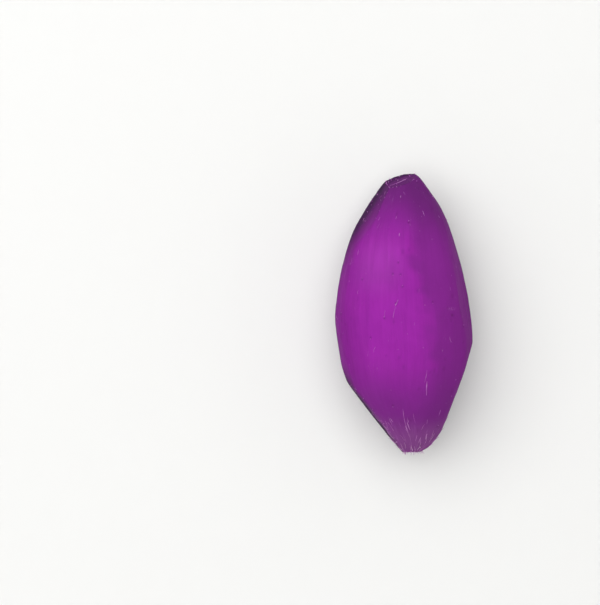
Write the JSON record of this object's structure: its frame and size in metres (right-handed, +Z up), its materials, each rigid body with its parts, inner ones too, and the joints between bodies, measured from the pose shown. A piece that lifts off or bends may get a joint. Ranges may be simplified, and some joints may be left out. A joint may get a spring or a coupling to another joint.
{
  "type": "baked purple sweet potato",
  "caption": "Whole peeled and baked purple sweet potato, a tapered root with long knife-cut faces and trimmed ends, lying on one of them.",
  "frame": {"origin": "on the resting face, under the middle of the root's bounding box", "axes": "+Z up from the resting face, +Y along the root towards its stem end, +X to the right of that, towards the straight knife-cut flank"},
  "size_m": [0.0585, 0.1187, 0.0494],
  "materials": {
    "baked_flesh": "satin, moist peeled flesh"
  },
  "bodies": {
    "root": {"sweet_potato": "baked_flesh"}
  },
  "joints": []
}
